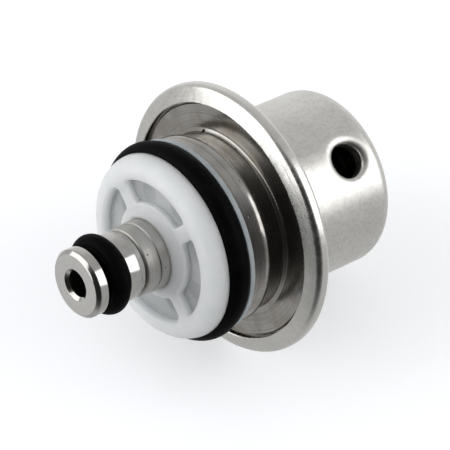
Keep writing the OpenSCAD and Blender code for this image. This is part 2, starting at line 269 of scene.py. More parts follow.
def cover_steel():
    """Drawn stainless sheet, satin from the draw: a soft shine with faint streaks along the axis, cloudy
    handling marks, a grey speckle and a few scratches. Its fine grain is drawn coarser than real so that
    it shows. The rolled flange is smoother and plainer."""
    material, tree, shader = new_finish("satin drawn stainless", Metallic=1.0)
    place = millimetres(tree)
    cloud = add(tree, "ShaderNodeTexNoise", {"Vector": place, "Scale": 1 / 4.0, "Detail": 4.0})
    drawn = round_axis(tree, place, 0.5, 9.0, 0.006)
    streaks = add(tree, "ShaderNodeTexNoise", {"Vector": drawn, "Scale": 1.0, "Detail": 2.0})
    grain = add(tree, "ShaderNodeTexNoise", {"Vector": place, "Scale": 1 / 0.16, "Detail": 2.0})
    swept = round_axis(tree, place, 0.25, 0.25, 0.14)
    marks = add(tree, "ShaderNodeTexNoise", {"Vector": swept, "Scale": 1.0, "Detail": 0.0})
    scratch = add(tree, "ShaderNodeMapRange", {0: marks, 1: 0.72, 2: 0.78, 3: 0.0, 4: 1.0})
    shade = add(tree, "ShaderNodeMapRange", {0: cloud, 1: 0.35, 2: 0.7, 3: 0.0, 4: 1.0})
    colours = {0: shade, 6: linear("#dbdad7"), 7: linear("#d1d0cb")}
    even = add(tree, "ShaderNodeMix", colours, data_type="RGBA", out=2)
    speckle = add(tree, "ShaderNodeTexNoise", {"Vector": place, "Scale": 1 / 0.5, "Detail": 3.0})
    speck = add(tree, "ShaderNodeMapRange", {0: speckle, 1: 0.45, 2: 0.75, 3: 0.0, 4: 0.6})
    radius = axis_distance(tree, place)
    open_grain = add(tree, "ShaderNodeMapRange", {0: radius, 1: LIP_R - 1.5, 2: LIP_R, 3: 1.0, 4: 0.3})
    faint = add(tree, "ShaderNodeMath", {0: speck, 1: open_grain}, operation="MULTIPLY")
    tint = add(tree, "ShaderNodeMix", {0: faint, 6: even, 7: linear("#bcbab3")}, data_type="RGBA", out=2)
    satin = add(tree, "ShaderNodeMapRange", {0: streaks, 1: 0.3, 2: 0.7, 3: 0.29, 4: 0.39})
    worn = add(tree, "ShaderNodeMath", {0: scratch, 1: 0.1, 2: satin}, operation="MULTIPLY_ADD")
    rolled = add(tree, "ShaderNodeMapRange", {0: radius, 1: LIP_R - 1.5, 2: LIP_R + 0.5, 3: 0.0, 4: -0.08})
    finish = add(tree, "ShaderNodeMath", {0: worn, 1: rolled}, operation="ADD")
    kept = add(tree, "ShaderNodeMath", {0: grain, 1: open_grain}, operation="MULTIPLY")
    fine = add(tree, "ShaderNodeBump", {"Height": kept, "Strength": 0.5, "Distance": 0.014 * MM})
    along = {"Height": streaks, "Strength": 0.4, "Distance": 0.01 * MM, "Normal": fine}
    streaked = add(tree, "ShaderNodeBump", along)
    sunk = {"Height": scratch, "Strength": 0.3, "Distance": -0.01 * MM, "Normal": streaked}
    cut = add(tree, "ShaderNodeBump", sunk)
    wire(tree, shader, Base_Color=tint, Roughness=finish, Normal=cut)
    return material


def housing_steel():
    """Drawn steel dulled by annealing: greyer than the cover and mottled brown, smooth with rings from
    the draw and a few small dark pits. The collar, sized over the tube, is lighter and matt. The end
    wall under the screen is matt and painted near white, painted light that lifts the shaded windows
    of the frame. Its fine grain is drawn coarser than real so that it shows."""
    material, tree, shader = new_finish("annealed drawn steel", Metallic=1.0)
    place = millimetres(tree)
    mottle = add(tree, "ShaderNodeTexNoise", {"Vector": place, "Scale": 1 / 2.4, "Detail": 5.0})
    turned = round_axis(tree, place, 0.25, 0.3, 0.5)
    rings = add(tree, "ShaderNodeTexNoise", {"Vector": turned, "Scale": 1.0, "Detail": 2.0})
    grain = add(tree, "ShaderNodeTexNoise", {"Vector": place, "Scale": 1 / 0.16, "Detail": 2.0})
    cells = add(tree, "ShaderNodeTexVoronoi", {"Vector": place, "Scale": 1 / 1.3}, out=None).outputs
    spot = add(tree, "ShaderNodeMapRange", {0: cells["Distance"], 1: 0.06, 2: 0.12, 3: 1.0, 4: 0.0})
    chance = add(tree, "ShaderNodeSeparateColor", {0: cells["Color"]})
    some = add(tree, "ShaderNodeMath", {0: chance, 1: 0.5}, operation="GREATER_THAN")
    pit = add(tree, "ShaderNodeMath", {0: spot, 1: some}, operation="MULTIPLY")
    height = add(tree, "ShaderNodeSeparateXYZ", {0: place}, out=2)
    sized = add(tree, "ShaderNodeMapRange", {0: height, 1: Z_HUB, 2: Z_HUB + 0.5, 3: 0.0, 4: 1.0})
    radius = axis_distance(tree, place)
    outside = add(tree, "ShaderNodeMath", {0: radius, 1: HUB_R}, operation="GREATER_THAN")
    end = add(tree, "ShaderNodeMath", {0: height, 1: Z_WALL - 0.2}, operation="GREATER_THAN")
    end_wall = add(tree, "ShaderNodeMath", {0: outside, 1: end}, operation="MULTIPLY")
    shade = add(tree, "ShaderNodeMapRange", {0: mottle, 1: 0.38, 2: 0.66, 3: 0.0, 4: 1.0})
    colours = {0: shade, 6: linear("#b2b1ae"), 7: linear("#a19c95")}
    mottled = add(tree, "ShaderNodeMix", colours, data_type="RGBA", out=2)
    ring_tone = add(tree, "ShaderNodeMapRange", {0: rings, 1: 0.45, 2: 0.7, 3: 0.0, 4: 0.7})
    lined = {0: ring_tone, 6: mottled, 7: linear("#8f8a84")}
    tint = add(tree, "ShaderNodeMix", lined, data_type="RGBA", out=2)
    # The end wall under the screen is painted near white: painted light that lifts the shaded windows. The
    # collar's lighter share is its sized finish.
    light = add(tree, "ShaderNodeMath", {0: sized, 1: 0.28, 2: end_wall}, operation="MULTIPLY_ADD")
    sized_and_painted_light_tint = add(tree, "ShaderNodeMix", {0: light, 6: tint, 7: linear("#f0efec")}, data_type="RGBA", out=2)
    pitted = add(tree, "ShaderNodeMix", {0: pit, 6: sized_and_painted_light_tint, 7: linear("#3a352f")}, data_type="RGBA", out=2)
    smooth = add(tree, "ShaderNodeMapRange", {0: rings, 1: 0.3, 2: 0.7, 3: 0.15, 4: 0.23})
    dull = add(tree, "ShaderNodeMath", {0: sized, 1: end_wall}, operation="MAXIMUM")
    matt = add(tree, "ShaderNodeMath", {0: dull, 1: 0.24, 2: smooth}, operation="MULTIPLY_ADD")
    fine = add(tree, "ShaderNodeBump", {"Height": grain, "Strength": 0.3, "Distance": 0.012 * MM})
    ringed = {"Height": rings, "Strength": 0.5, "Distance": 0.014 * MM, "Normal": fine}
    drawn = add(tree, "ShaderNodeBump", ringed)
    holed = {"Height": pit, "Strength": 0.6, "Distance": -0.03 * MM, "Normal": drawn}
    sunk = add(tree, "ShaderNodeBump", holed)
    wire(tree, shader, Base_Color=pitted, Roughness=matt, Normal=sunk)
    return material


def turned_steel():
    """Bright steel from a lathe: clean mirror-like sides, a satin end face, and rings of fine tool lines
    drawn coarser than real so that they show. The sides are painted darker than the end face: painted
    shade for the dark surround that they reflect."""
    material, tree, shader = new_finish("turned bright steel", Metallic=1.0)
    place = millimetres(tree)
    turned = round_axis(tree, place, 0.12, 0.12, 4.0)
    lines = add(tree, "ShaderNodeTexNoise", {"Vector": turned, "Scale": 1.0, "Detail": 1.0})
    stain = add(tree, "ShaderNodeTexNoise", {"Vector": place, "Scale": 1 / 1.5, "Detail": 3.0})
    facing = add(tree, "ShaderNodeTexCoord", out="Normal")
    upward = add(tree, "ShaderNodeSeparateXYZ", {0: facing}, out=2)
    end_face = add(tree, "ShaderNodeMapRange", {0: upward, 1: 0.93, 2: 1.0, 3: 0.0, 4: 1.0})
    shade = add(tree, "ShaderNodeMapRange", {0: stain, 1: 0.4, 2: 0.75, 3: 0.0, 4: 1.0})
    # The sides' colours are darker than the end face's: painted shade by facing direction.
    colours = {0: shade, 6: linear("#bfbebb"), 7: linear("#b0aeaa")}
    sides = add(tree, "ShaderNodeMix", colours, data_type="RGBA", out=2)
    shade_painted_by_facing = {0: end_face, 6: sides, 7: linear("#d9d8d5")}
    tint = add(tree, "ShaderNodeMix", shade_painted_by_facing, data_type="RGBA", out=2)
    bright = add(tree, "ShaderNodeMapRange", {0: lines, 1: 0.3, 2: 0.7, 3: 0.1, 4: 0.17})
    satin = add(tree, "ShaderNodeMath", {0: end_face, 1: 0.16, 2: bright}, operation="MULTIPLY_ADD")
    cut = add(tree, "ShaderNodeBump", {"Height": lines, "Strength": 0.3, "Distance": 0.006 * MM})
    wire(tree, shader, Base_Color=tint, Roughness=satin, Normal=cut)
    return material


def moulded_rubber(name, base, worn, roughness):
    """Moulded rubber: dark and dull, with a faint bloom and a few grey specks of dust. Its fine
    grain is drawn coarser than real so that it shows."""
    material, tree, shader = new_finish(name, IOR=1.52, Specular_IOR_Level=0.04)
    place = millimetres(tree)
    bloom = add(tree, "ShaderNodeTexNoise", {"Vector": place, "Scale": 1 / 2.5, "Detail": 4.0})
    grain = add(tree, "ShaderNodeTexNoise", {"Vector": place, "Scale": 1 / 0.15, "Detail": 2.0})
    speck = add(tree, "ShaderNodeTexVoronoi", {"Vector": place, "Scale": 1 / 1.1}, out="Distance")
    dust = add(tree, "ShaderNodeMapRange", {0: speck, 1: 0.03, 2: 0.07, 3: 1.0, 4: 0.0})
    shade = add(tree, "ShaderNodeMapRange", {0: bloom, 1: 0.4, 2: 0.75, 3: 0.0, 4: 1.0})
    colours = {0: shade, 6: linear(base), 7: linear(worn)}
    skin_tone = add(tree, "ShaderNodeMix", colours, data_type="RGBA", out=2)
    dusted = {0: dust, 6: skin_tone, 7: linear("#38383a")}
    tint = add(tree, "ShaderNodeMix", dusted, data_type="RGBA", out=2)
    limits = {0: bloom, 1: 0.3, 2: 0.7, 3: roughness - 0.06, 4: roughness + 0.06}
    dull = add(tree, "ShaderNodeMapRange", limits)
    fine = add(tree, "ShaderNodeBump", {"Height": grain, "Strength": 0.25, "Distance": 0.01 * MM})
    wire(tree, shader, Base_Color=tint, Roughness=dull, Normal=fine)
    return material


def moulded_plastic(name, base, shaded, roughness, **sockets):
    """Moulded natural plastic: smooth, softly lit through its thickness, with slow waves where it
    shrank."""
    material, tree, shader = new_finish(name, **sockets)
    place = millimetres(tree)
    sink = add(tree, "ShaderNodeTexNoise", {"Vector": place, "Scale": 1 / 3.0, "Detail": 2.0})
    shade = add(tree, "ShaderNodeMapRange", {0: sink, 1: 0.35, 2: 0.7, 3: 0.0, 4: 1.0})
    colours = {0: shade, 6: linear(base), 7: linear(shaded)}
    tint = add(tree, "ShaderNodeMix", colours, data_type="RGBA", out=2)
    limits = {0: sink, 1: 0.3, 2: 0.7, 3: roughness - 0.05, 4: roughness + 0.05}
    sheen = add(tree, "ShaderNodeMapRange", limits)
    waves = add(tree, "ShaderNodeBump", {"Height": sink, "Strength": 0.3, "Distance": 0.05 * MM})
    wire(tree, shader, Base_Color=tint, Roughness=sheen, Normal=waves)
    return material


def plain_metal(name, base, stained, roughness):
    """A metal finish for the inner pieces: cloudy in colour, with fine marks in its shine."""
    material, tree, shader = new_finish(name, Metallic=1.0)
    place = millimetres(tree)
    cloud = add(tree, "ShaderNodeTexNoise", {"Vector": place, "Scale": 1 / 1.2, "Detail": 3.0})
    marks = add(tree, "ShaderNodeTexNoise", {"Vector": place, "Scale": 1 / 0.3, "Detail": 2.0})
    colours = {0: cloud, 6: linear(base), 7: linear(stained)}
    tint = add(tree, "ShaderNodeMix", colours, data_type="RGBA", out=2)
    limits = {0: marks, 1: 0.3, 2: 0.7, 3: roughness - 0.05, 4: roughness + 0.08}
    shine = add(tree, "ShaderNodeMapRange", limits)
    wire(tree, shader, Base_Color=tint, Roughness=shine)
    return material


FINISHES = {
    "cover_steel": cover_steel(),
    "housing_steel": housing_steel(),
    "turned_steel": turned_steel(),
    "seal_rubber": moulded_rubber("nitrile rubber", "#030303", "#080808", 0.55),
    "backup_plastic": moulded_plastic(
        "natural fluoroplastic ring", "#a9b1b4", "#9ba3a6", 0.45,
        Subsurface_Weight=0.6, Subsurface_Radius=(1, 1, 1), Subsurface_Scale=0.8 * MM),
    "filter_plastic": moulded_plastic(
        "moulded acetal", "#e4e8ea", "#dee3e6", 0.42,
        Subsurface_Weight=1.0, Subsurface_Radius=(1, 1, 1), Subsurface_Scale=5.0 * MM),
    "filter_mesh": moulded_plastic("nylon screen thread", "#f6f8fa", "#f0f3f5", 0.45, Alpha=0.52),
    "diaphragm_rubber": moulded_rubber("fabric-backed rubber", "#3b2a1f", "#4a382b", 0.6),
    "plated_steel": plain_metal("zinc-plated stamping", "#cbc5ae", "#b4ad94", 0.3),
    "valve_brass": plain_metal("turned brass", "#d2b06a", "#b8944e", 0.24),
    "ball_steel": plain_metal("polished ball steel", "#d8d8da", "#c6c6ca", 0.12),
    # The spring wire is painted near black: painted shade for the dark inside of the cover, seen through
    # the vent.
    "spring_steel": plain_metal("drawn spring wire", "#2c2a28", "#201f1d", 0.45),
}


# Shared builders

def rounded(points, steps=6):
    """A closed outline of (r, z) points. A point given as (r, z, radius) is rounded to that radius."""
    outline = []
    for i, point in enumerate(points):
        corner = Vector(point[:2])
        radius = point[2] if len(point) > 2 else 0
        if not radius:
            outline.append(tuple(corner))
            continue
        before = (Vector(points[i - 1][:2]) - corner).normalized()
        after = (Vector(points[(i + 1) % len(points)][:2]) - corner).normalized()
        half = before.angle(after) / 2
        centre = corner + (before + after).normalized() * radius / math.sin(half)
        first = corner + before * radius / math.tan(half) - centre
        turn = first.angle_signed(corner + after * radius / math.tan(half) - centre)
        for k in range(steps + 1):
            arm = first.copy()
            arm.rotate(Matrix.Rotation(-turn * k / steps, 2))
            outline.append(tuple(centre + arm))
    return outline


def dress(piece, body, slot):
    """Gives a finished piece the finish of its slot, and the body that it rides on, if one is given."""
    piece.data.materials.clear()
    piece.data.materials.append(FINISHES[slot])
    if body:
        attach(piece, body)


def place_new(name, data):
    """A new object in the scene."""
    made = bpy.data.objects.new(name, data)
    bpy.context.scene.collection.objects.link(made)
    return made


def mesh_of(bm, name):
    """A finished bmesh as a mesh."""
    mesh = bpy.data.meshes.new(name)
    bm.to_mesh(mesh)
    bm.free()
    return mesh


def shade_smooth(mesh, sharp):
    """Smooth shading, apart from edges sharper than an angle in degrees."""
    for polygon in mesh.polygons:
        polygon.use_smooth = True
    mesh.set_sharp_from_angle(angle=math.radians(sharp))


def piece_from(bm, name, body, slot, sharp=40):
    """Turns a bmesh in mm into a finished piece in metres, which rides on a body if one is given."""
    bmesh.ops.remove_doubles(bm, verts=bm.verts, dist=1e-5)
    bmesh.ops.recalc_face_normals(bm, faces=bm.faces)
    bmesh.ops.scale(bm, vec=(MM, MM, MM), verts=bm.verts)
    mesh = mesh_of(bm, name)
    shade_smooth(mesh, sharp)
    piece = place_new(name, mesh)
    if body:
        dress(piece, body, slot)
    return piece


def lathe_rows(bm, outline, segments=SEGMENTS, shape=None):
    """Turns an outline of (r, z) points about the axis. Returns one row of vertices per point."""
    rows = []
    for r, z in outline:
        if r < 1e-6:
            rows.append([bm.verts.new((0, 0, z))] * segments)
            continue
        row = []
        for k in range(segments):
            angle = 2 * math.pi * k / segments
            turned_r, turned_z = shape(r, z, angle) if shape else (r, z)
            row.append(bm.verts.new((turned_r * math.cos(angle), turned_r * math.sin(angle), turned_z)))
        rows.append(row)
    return rows


def skin(bm, low, high, columns=None):
    """Faces between two rows of vertices, round the whole turn or over some columns."""
    count = len(low)
    for k in columns if columns is not None else range(count):
        ring = [low[k], low[(k + 1) % count], high[(k + 1) % count], high[k]]
        corners = list(dict.fromkeys(ring))
        if len(corners) > 2:
            bm.faces.new(corners)


def lathe(name, outline, body, slot, segments=SEGMENTS, shape=None, sharp=40):
    """A turned piece from a closed outline."""
    bm = bmesh.new()
    rows = lathe_rows(bm, outline, segments, shape)
    for low, high in zip(rows, rows[1:] + rows[:1]):
        skin(bm, low, high)
    return piece_from(bm, name, body, slot, sharp)


def circle_outline(centre_r, centre_z, radius, steps=40):
    """Outline of a round section."""
    angles = [2 * math.pi * k / steps for k in range(steps)]
    return [(centre_r + radius * math.cos(a), centre_z + radius * math.sin(a)) for a in angles]


def baked(source, name, body, slot):
    """The evaluated form of an object as a plain mesh, which rides on a body."""
    graph = bpy.context.evaluated_depsgraph_get()
    mesh = bpy.data.meshes.new_from_object(source.evaluated_get(graph))
    mesh.name = name
    bpy.data.objects.remove(source)
    piece = place_new(name, mesh)
    dress(piece, body, slot)
    return piece


# Spring cover

VENT_CELL = 15
VENT_COLUMN = 3 * SEGMENTS // 4
OUTER_CELL_H = 4.6
INNER_CELL_H = 3.6


def outer_wall(z):
    """Radius of the cover's outer wall at a height, also in the rounded corner of its closed end."""
    drop = max(0.0, COVER_CORNER - z)
    return COVER_R - COVER_CORNER + math.sqrt(COVER_CORNER ** 2 - drop ** 2)


def inner_wall(z):
    """Radius of the cover's inner wall, which is straight where the vent is."""
    return COVER_R - SHEET


def edge_noise(angle, waves, layer):
    """Smooth noise round the axis, finer with more waves."""
    return noise.noise(Vector((waves * math.cos(angle), waves * math.sin(angle), layer)))


def sheared_edge(r, z, angle):
    """The sheared edge of the crimped lip wanders a little and has small burrs."""
    if LIP_R - 0.5 < r < LIP_R + BURR_REACH and z > Z_FACE - 0.05:
        wave = edge_noise(angle, LIP_WAVES, 1.7)
        fine = edge_noise(angle, BURR_WAVES, 4.2)
        share = max(0.0, 1 - (r - LIP_R) / BURR_REACH)
        r += share * (LIP_WANDER * wave + BURR_OUT * fine)
        z -= share * BURR_DROP * max(0.0, fine)
    return r, z


def wall_rows(wall, reach):
    """Rows of a wall that the vent's cell lines up with, from below."""
    heights = [VENT_H + reach * k / VENT_CELL for k in range(-VENT_CELL, VENT_CELL + 1)]
    return [(wall(z), z) for z in heights]


def cell_edge(rows, first):
    """The vertices round the vent's cell, in order, starting low on the left as seen from the vent."""
    cols = [(VENT_COLUMN + k) % SEGMENTS for k in range(-VENT_CELL, VENT_CELL + 1)]
    span = rows[first:first + 2 * VENT_CELL + 1]
    if span[0][0].co.z > span[-1][0].co.z:
        span = span[::-1]
    edge = [span[0][c] for c in cols]
    edge += [row[cols[-1]] for row in span[1:]]
    edge += [span[-1][c] for c in reversed(cols[:-1])]
    edge += [row[cols[0]] for row in reversed(span[1:-1])]
    return edge


def vent_ring(bm, edge, radius, depth, wall, share=1.0):
    """A ring of vertices round the vent, at a depth in from the wall, or part of the way out to the
    cell's edge."""
    ring = []
    for vertex in edge:
        angle = math.atan2(vertex.co.z - VENT_H, vertex.co.x)
        x = share * radius * math.cos(angle) + (1 - share) * vertex.co.x
        z = share * (VENT_H + radius * math.sin(angle)) + (1 - share) * vertex.co.z
        ring.append(bm.verts.new((x, depth - math.sqrt(wall(z) ** 2 - x ** 2), z)))
    return ring


def vent_rings(bm, outer_edge, inner_edge):
    """Rings from the outer wall, down the vent's dish, through the punched collar and back to the inner
    wall."""
    mouth_r = VENT_R + VENT_DISH
    collar_r = VENT_R + VENT_WALL
    end_r = VENT_WALL / 2
    rings = [outer_edge]
    for share in (0.35, 0.7, 1):
        rings.append(vent_ring(bm, outer_edge, mouth_r, 0, outer_wall, share))
    for a in [math.radians(10 * k) for k in range(1, 10)]:
        radius = mouth_r - VENT_DISH * math.sin(a)
        depth = VENT_DISH_DEEP * (1 - math.cos(a))
        rings.append(vent_ring(bm, outer_edge, radius, depth, outer_wall))
    for a in [math.radians(30 * k) for k in range(7)]:
        radius = VENT_R + end_r - end_r * math.cos(a)
        depth = VENT_REACH - end_r + end_r * math.sin(a)
        rings.append(vent_ring(bm, outer_edge, radius, depth, inner_wall))
    rings.append(vent_ring(bm, inner_edge, collar_r, VENT_ROOT, inner_wall))
    for share in (1, 0.6, 0.3):
        rings.append(vent_ring(bm, inner_edge, collar_r + VENT_ROOT, 0, inner_wall, share))
    rings.append(inner_edge)
    return rings


def build_cover():
    """The drawn cup with its crimped flange, and the vent punched in through its wall."""
    inner_r = COVER_R - SHEET
    curl_in = CURL - SHEET
    turn = math.acos(1 - (VENT_H - OUTER_CELL_H) / COVER_CORNER)
    arms = [turn * k / 12 for k in range(12)]
    centre_r = COVER_R - COVER_CORNER
    end_corner = [
        (centre_r + COVER_CORNER * math.sin(a), COVER_CORNER * (1 - math.cos(a))) for a in arms]
    rim = rounded([
        (COVER_R, VENT_H),
        (COVER_R, COVER_H, COVER_ROOT),
        (FLANGE_R, COVER_H, RIM_BACK_ROUND),
        (FLANGE_R, Z_LIP - (FLANGE_R - LIP_R) * math.tan(LIP_TILT), RIM_ROUND),
        (LIP_R + LIP_SHEAR, Z_LIP - LIP_SHEAR * math.tan(LIP_TILT), 0.05),
        (LIP_R, Z_LIP - LIP_SHEAR_DEEP, 0.02),
        (LIP_R, Z_FACE + LIP_GAP, 0.02),
        (FLANGE_R - SHEET, Z_FACE, curl_in),
        (FLANGE_R - SHEET, Z_CLAMP, curl_in),
        (inner_r, Z_CLAMP, COVER_ROOT + SHEET),
        (inner_r, VENT_H),
    ], 12)[1:-1]
    inner_bend = [(inner_r, VENT_H), (inner_r, SHEET, COVER_CORNER - SHEET), (0, SHEET)]
    inner_corner = rounded(inner_bend, 12)[1:]
    outline = [(0, 0)] + end_corner
    first_outer = len(outline)
    outline += wall_rows(outer_wall, OUTER_CELL_H) + rim
    first_inner = len(outline)
    outline += wall_rows(inner_wall, INNER_CELL_H)[::-1] + inner_corner
    bm = bmesh.new()
    rows = lathe_rows(bm, outline, shape=sheared_edge)
    cell = {(VENT_COLUMN + k) % SEGMENTS for k in range(-VENT_CELL, VENT_CELL)}
    clear = [k for k in range(SEGMENTS) if k not in cell]
    for i, (low, high) in enumerate(zip(rows, rows[1:])):
        in_cell = any(first <= i < first + 2 * VENT_CELL for first in (first_outer, first_inner))
        skin(bm, low, high, clear if in_cell else None)
    rings = vent_rings(bm, cell_edge(rows, first_outer), cell_edge(rows, first_inner))
    for low, high in zip(rings, rings[1:]):
        skin(bm, low, high)
    loose = [v for v in bm.verts if not v.link_faces]
    bmesh.ops.delete(bm, geom=loose, context="VERTS")
    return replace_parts(piece_from(bm, "drawn_cover", BODY, "cover_steel"), "spring_cover")


# Inlet housing

def build_housing():
    """The drawn housing: flange, neck, bead, seal barrel, end wall with its inlet holes, and collar."""
    foot_r = COLLAR_R + FOOT_RISE
    foot_z = Z_HUB + FOOT_SHARE * (Z_COLLAR - Z_HUB)
    outline = rounded([
        (PINCHED_R, Z_JOINT),
        (PINCHED_R, Z_FACE),
        (LIP_R + 0.05, Z_FACE),
        (LIP_R, Z_FACE - PRESSED),
        (LIP_R - PRESSED_IN, Z_FACE - PRESSED, 0.05),
        (LIP_R - PRESSED_OUT, Z_FACE, 0.08),
        (NECK_R + NECK_ROOT + 0.05, Z_FACE),
        (NECK_R, Z_FACE, NECK_ROOT),
        (NECK_R, Z_FACE + NICK_L + 0.15),
        (NECK_R, Z_BEAD, SMALL_EDGE),
        (BEAD_R, Z_BEAD, BEAD_EDGE),
        (BEAD_R, Z_BEAD + BEAD_CREST, BEAD_CREST_ROUND),
        (BEAD_FRONT_R, Z_SHOULDER, SMALL_EDGE),
        (BARREL_R, Z_SHOULDER, 0.3),
        (BARREL_R, Z_WALL, WALL_ROUND),
        (foot_r, Z_WALL, COLLAR_ROOT),
        (foot_r, foot_z, SMALL_EDGE),
        (COLLAR_R, foot_z + FOOT_RISE, 0.15),
        (COLLAR_R, Z_COLLAR, 0.3),
        (COLLAR_BORE, Z_COLLAR),
        (COLLAR_BORE, Z_WALL - SHEET, COLLAR_ROOT + SHEET),
        (BARREL_R - SHEET, Z_WALL - SHEET, WALL_ROUND - SHEET),
        (BARREL_R - SHEET, Z_SHOULDER - SHEET, 1.1),
        (BEAD_INNER_R, Z_SHOULDER - SHEET),
        (BEAD_INNER_R, Z_BEAD + SHEET),
        (NECK_R - SHEET, Z_BEAD + SHEET),
        (NECK_R - SHEET, Z_JOINT, NECK_ROOT + SHEET),
    ], 8)
    blank = lathe("housing_blank", outline, None, None)
    bm = bmesh.new()
    for i in range(INLET_COUNT):
        turn = 2 * math.pi * (i + 0.5) / INLET_COUNT
        place = Matrix.Rotation(turn, 4, "Z") @ Matrix.Translation((INLET_CIRCLE, 0, Z_WALL - SHEET / 2))
        hole = {"segments": 40, "radius1": INLET_R, "radius2": INLET_R, "depth": 3 * SHEET}
        bmesh.ops.create_cone(bm, cap_ends=True, matrix=place, **hole)
    root = (NECK_R + 0.1, 0, Z_FACE + NICK_L / 2)
    place = Matrix.Rotation(NICK_TURN, 4, "Z") @ Matrix.Translation(root)
    nick = {"segments": 12, "radius1": NICK_R, "radius2": 0.05, "depth": NICK_L + 0.1}
    bmesh.ops.create_cone(bm, cap_ends=True, matrix=place, **nick)
    drill = piece_from(bm, "inlet_drill", None, None)
    cut = blank.modifiers.new("inlets", "BOOLEAN")
    cut.object = drill
    cut.solver = "EXACT"
    housing = baked(blank, "drawn_housing", BODY, "housing_steel")
    bpy.data.objects.remove(drill)
    bm = bmesh.new()
    bm.from_mesh(housing.data)
    bmesh.ops.dissolve_degenerate(bm, dist=SLIVER * MM, edges=bm.edges)
    bm.to_mesh(housing.data)
    bm.free()
    housing.data.set_sharp_from_angle(angle=math.radians(40))
    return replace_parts(housing, "inlet_housing")


# Turned and moulded rings

def build_nozzle():
    """The turned return tube, with its seal groove and chamfered bore."""
    outline = rounded([
        (BORE_R, Z_SEAT),
        (BORE_R + SEAT_RIM, Z_SEAT),
        (STEM_R, Z_SEAT + SEAT_CONE),
        (STEM_R, Z_WALL - SHEET),
        (COLLAR_BORE - CLEAR, Z_WALL + 0.08),
        (COLLAR_BORE - CLEAR, Z_COLLAR + CLEAR),
        (RELIEF_R, Z_COLLAR + CLEAR, 0.05),
        (RELIEF_R, Z_LAND, 0.08),
        (LAND_R, Z_LAND, 0.22),
        (LAND_R, Z_GROOVE, SMALL_EDGE),
        (GROOVE_R, Z_GROOVE, 0.1),
        (GROOVE_R, Z_HEAD, 0.1),
        (HEAD_R, Z_HEAD, SMALL_EDGE),
        (HEAD_R, Z_TIP - TIP_CHAMFER, 0.35),
        (HEAD_R - TIP_CHAMFER, Z_TIP, 0.35),
        (BORE_R + MOUTH_CHAMFER, Z_TIP, 0.06),
        (BORE_R, Z_TIP - MOUTH_CHAMFER, 0.06),
    ])
    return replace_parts(lathe("turned_nozzle", outline, BODY, "turned_steel", sharp=50), "return_tube")


def build_seal_ring(node, name, pressed=0.0):
    """A moulded rubber ring. One that is pressed in its groove is wider, on the side away from the
    cover."""
    low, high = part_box(node)
    section = (high.z - low.z) / 2 / MM
    middle = (low.z + high.z) / 2 / MM
    round_section = circle_outline(high.x / MM - section, 0, section, 48)
    outline = [(r, middle + pressed + z * (1 + pressed / section)) for r, z in round_section]
    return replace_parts(lathe(name, outline, BODY, "seal_rubber", segments=192), node)


def build_backup_ring():
    """The thin ring that backs the large seal, its edge pressed up a little round it."""
    z0, z1 = base_of("backup_ring"), top_of("backup_ring")
    outer = radius_of("backup_ring")
    inner = BARREL_R + BACKUP_CLEAR
    outline = rounded([
        (inner, z0),
        (outer, z0, SMALL_EDGE),
        (outer, z1 + BACKUP_CUP, 0.1),
        (outer - BACKUP_EDGE, z1 + 0.5 * BACKUP_CUP, 0.2),
        (outer - BACKUP_BEND, z1, 0.3),
        (inner, z1),
    ])
    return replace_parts(lathe("clear_backup_ring", outline, BODY, "backup_plastic"), "backup_ring")


# Filter frame

def arc_points(centre, radius, start, end, steps):
    """Points along an arc, without the last one."""
    angles = [start + (end - start) * k / steps for k in range(steps)]
    return [(centre[0] + radius * math.cos(a), centre[1] + radius * math.sin(a)) for a in angles]


def window_outline(grow):
    """Outline of a window between a spoke along +X and one along +Y, made larger all round by grow."""
    corner = WINDOW_CORNER + grow
    side = SPOKE_W / 2 - grow + corner
    far_r = WINDOW_OUT + grow
    near_r = WINDOW_IN - grow
    far = (math.sqrt((far_r - corner) ** 2 - side ** 2), side)
    near = (math.sqrt((near_r + corner) ** 2 - side ** 2), side)
    far_turn = math.atan2(far[1], far[0])
    near_turn = math.atan2(near[1], near[0])
    quarter = math.pi / 2
    points = arc_points(far, corner, -quarter, far_turn, 8)
    points += arc_points((0, 0), far_r, far_turn, quarter - far_turn, 40)
    points += arc_points(far[::-1], corner, quarter - far_turn, 2 * quarter, 8)
    points += [(SPOKE_W / 2 - grow, far[0] + (near[0] - far[0]) * k / 6) for k in range(6)]
    points += arc_points(near[::-1], corner, 2 * quarter, 3 * quarter - near_turn, 8)
    points += arc_points((0, 0), near_r, quarter - near_turn, near_turn, 26)
    points += arc_points(near, corner, 2 * quarter + near_turn, 3 * quarter, 8)
    points += [(near[0] + (far[0] - near[0]) * k / 6, SPOKE_W / 2 - grow) for k in range(6)]
    return points


def turned(points, turn):
    """Points turned about the origin."""
    c, s = math.cos(turn), math.sin(turn)
    return [(c * x - s * y, s * x + c * y) for x, y in points]


def frame_front(r):
    """Height of the filter frame's front at a radius, before the windows' edges are rounded."""
    if r < HUB_FOOT_R:
        share = max(0.0, (r - HUB_BORE - HUB_EDGE) / (HUB_FOOT_R - HUB_BORE - HUB_EDGE))
        inset = max(0.0, HUB_BORE + HUB_EDGE - r)
        edge = HUB_EDGE - math.sqrt(max(0.0, HUB_EDGE ** 2 - inset ** 2))
        return Z_SPOKE + (Z_HUB - Z_SPOKE) * (1 + math.cos(math.pi * share)) / 2 - edge
    crest = Z_FRAME_BACK + math.sqrt(max(0.0, FRAME_ROUND ** 2 - (r - CREST_R) ** 2))
    return max(Z_SPOKE, crest) if r < CREST_R else crest


def in_windows(x, y, loops):
    """Whether a point lies inside one of some closed outlines."""
    inside = False
    for loop in loops:
        for (x0, y0), (x1, y1) in zip(loop, loop[1:] + loop[:1]):
            if (y0 > y) != (y1 > y) and x < (x1 - x0) * (y - y0) / (y1 - y0) + x0:
                inside = not inside
    return inside


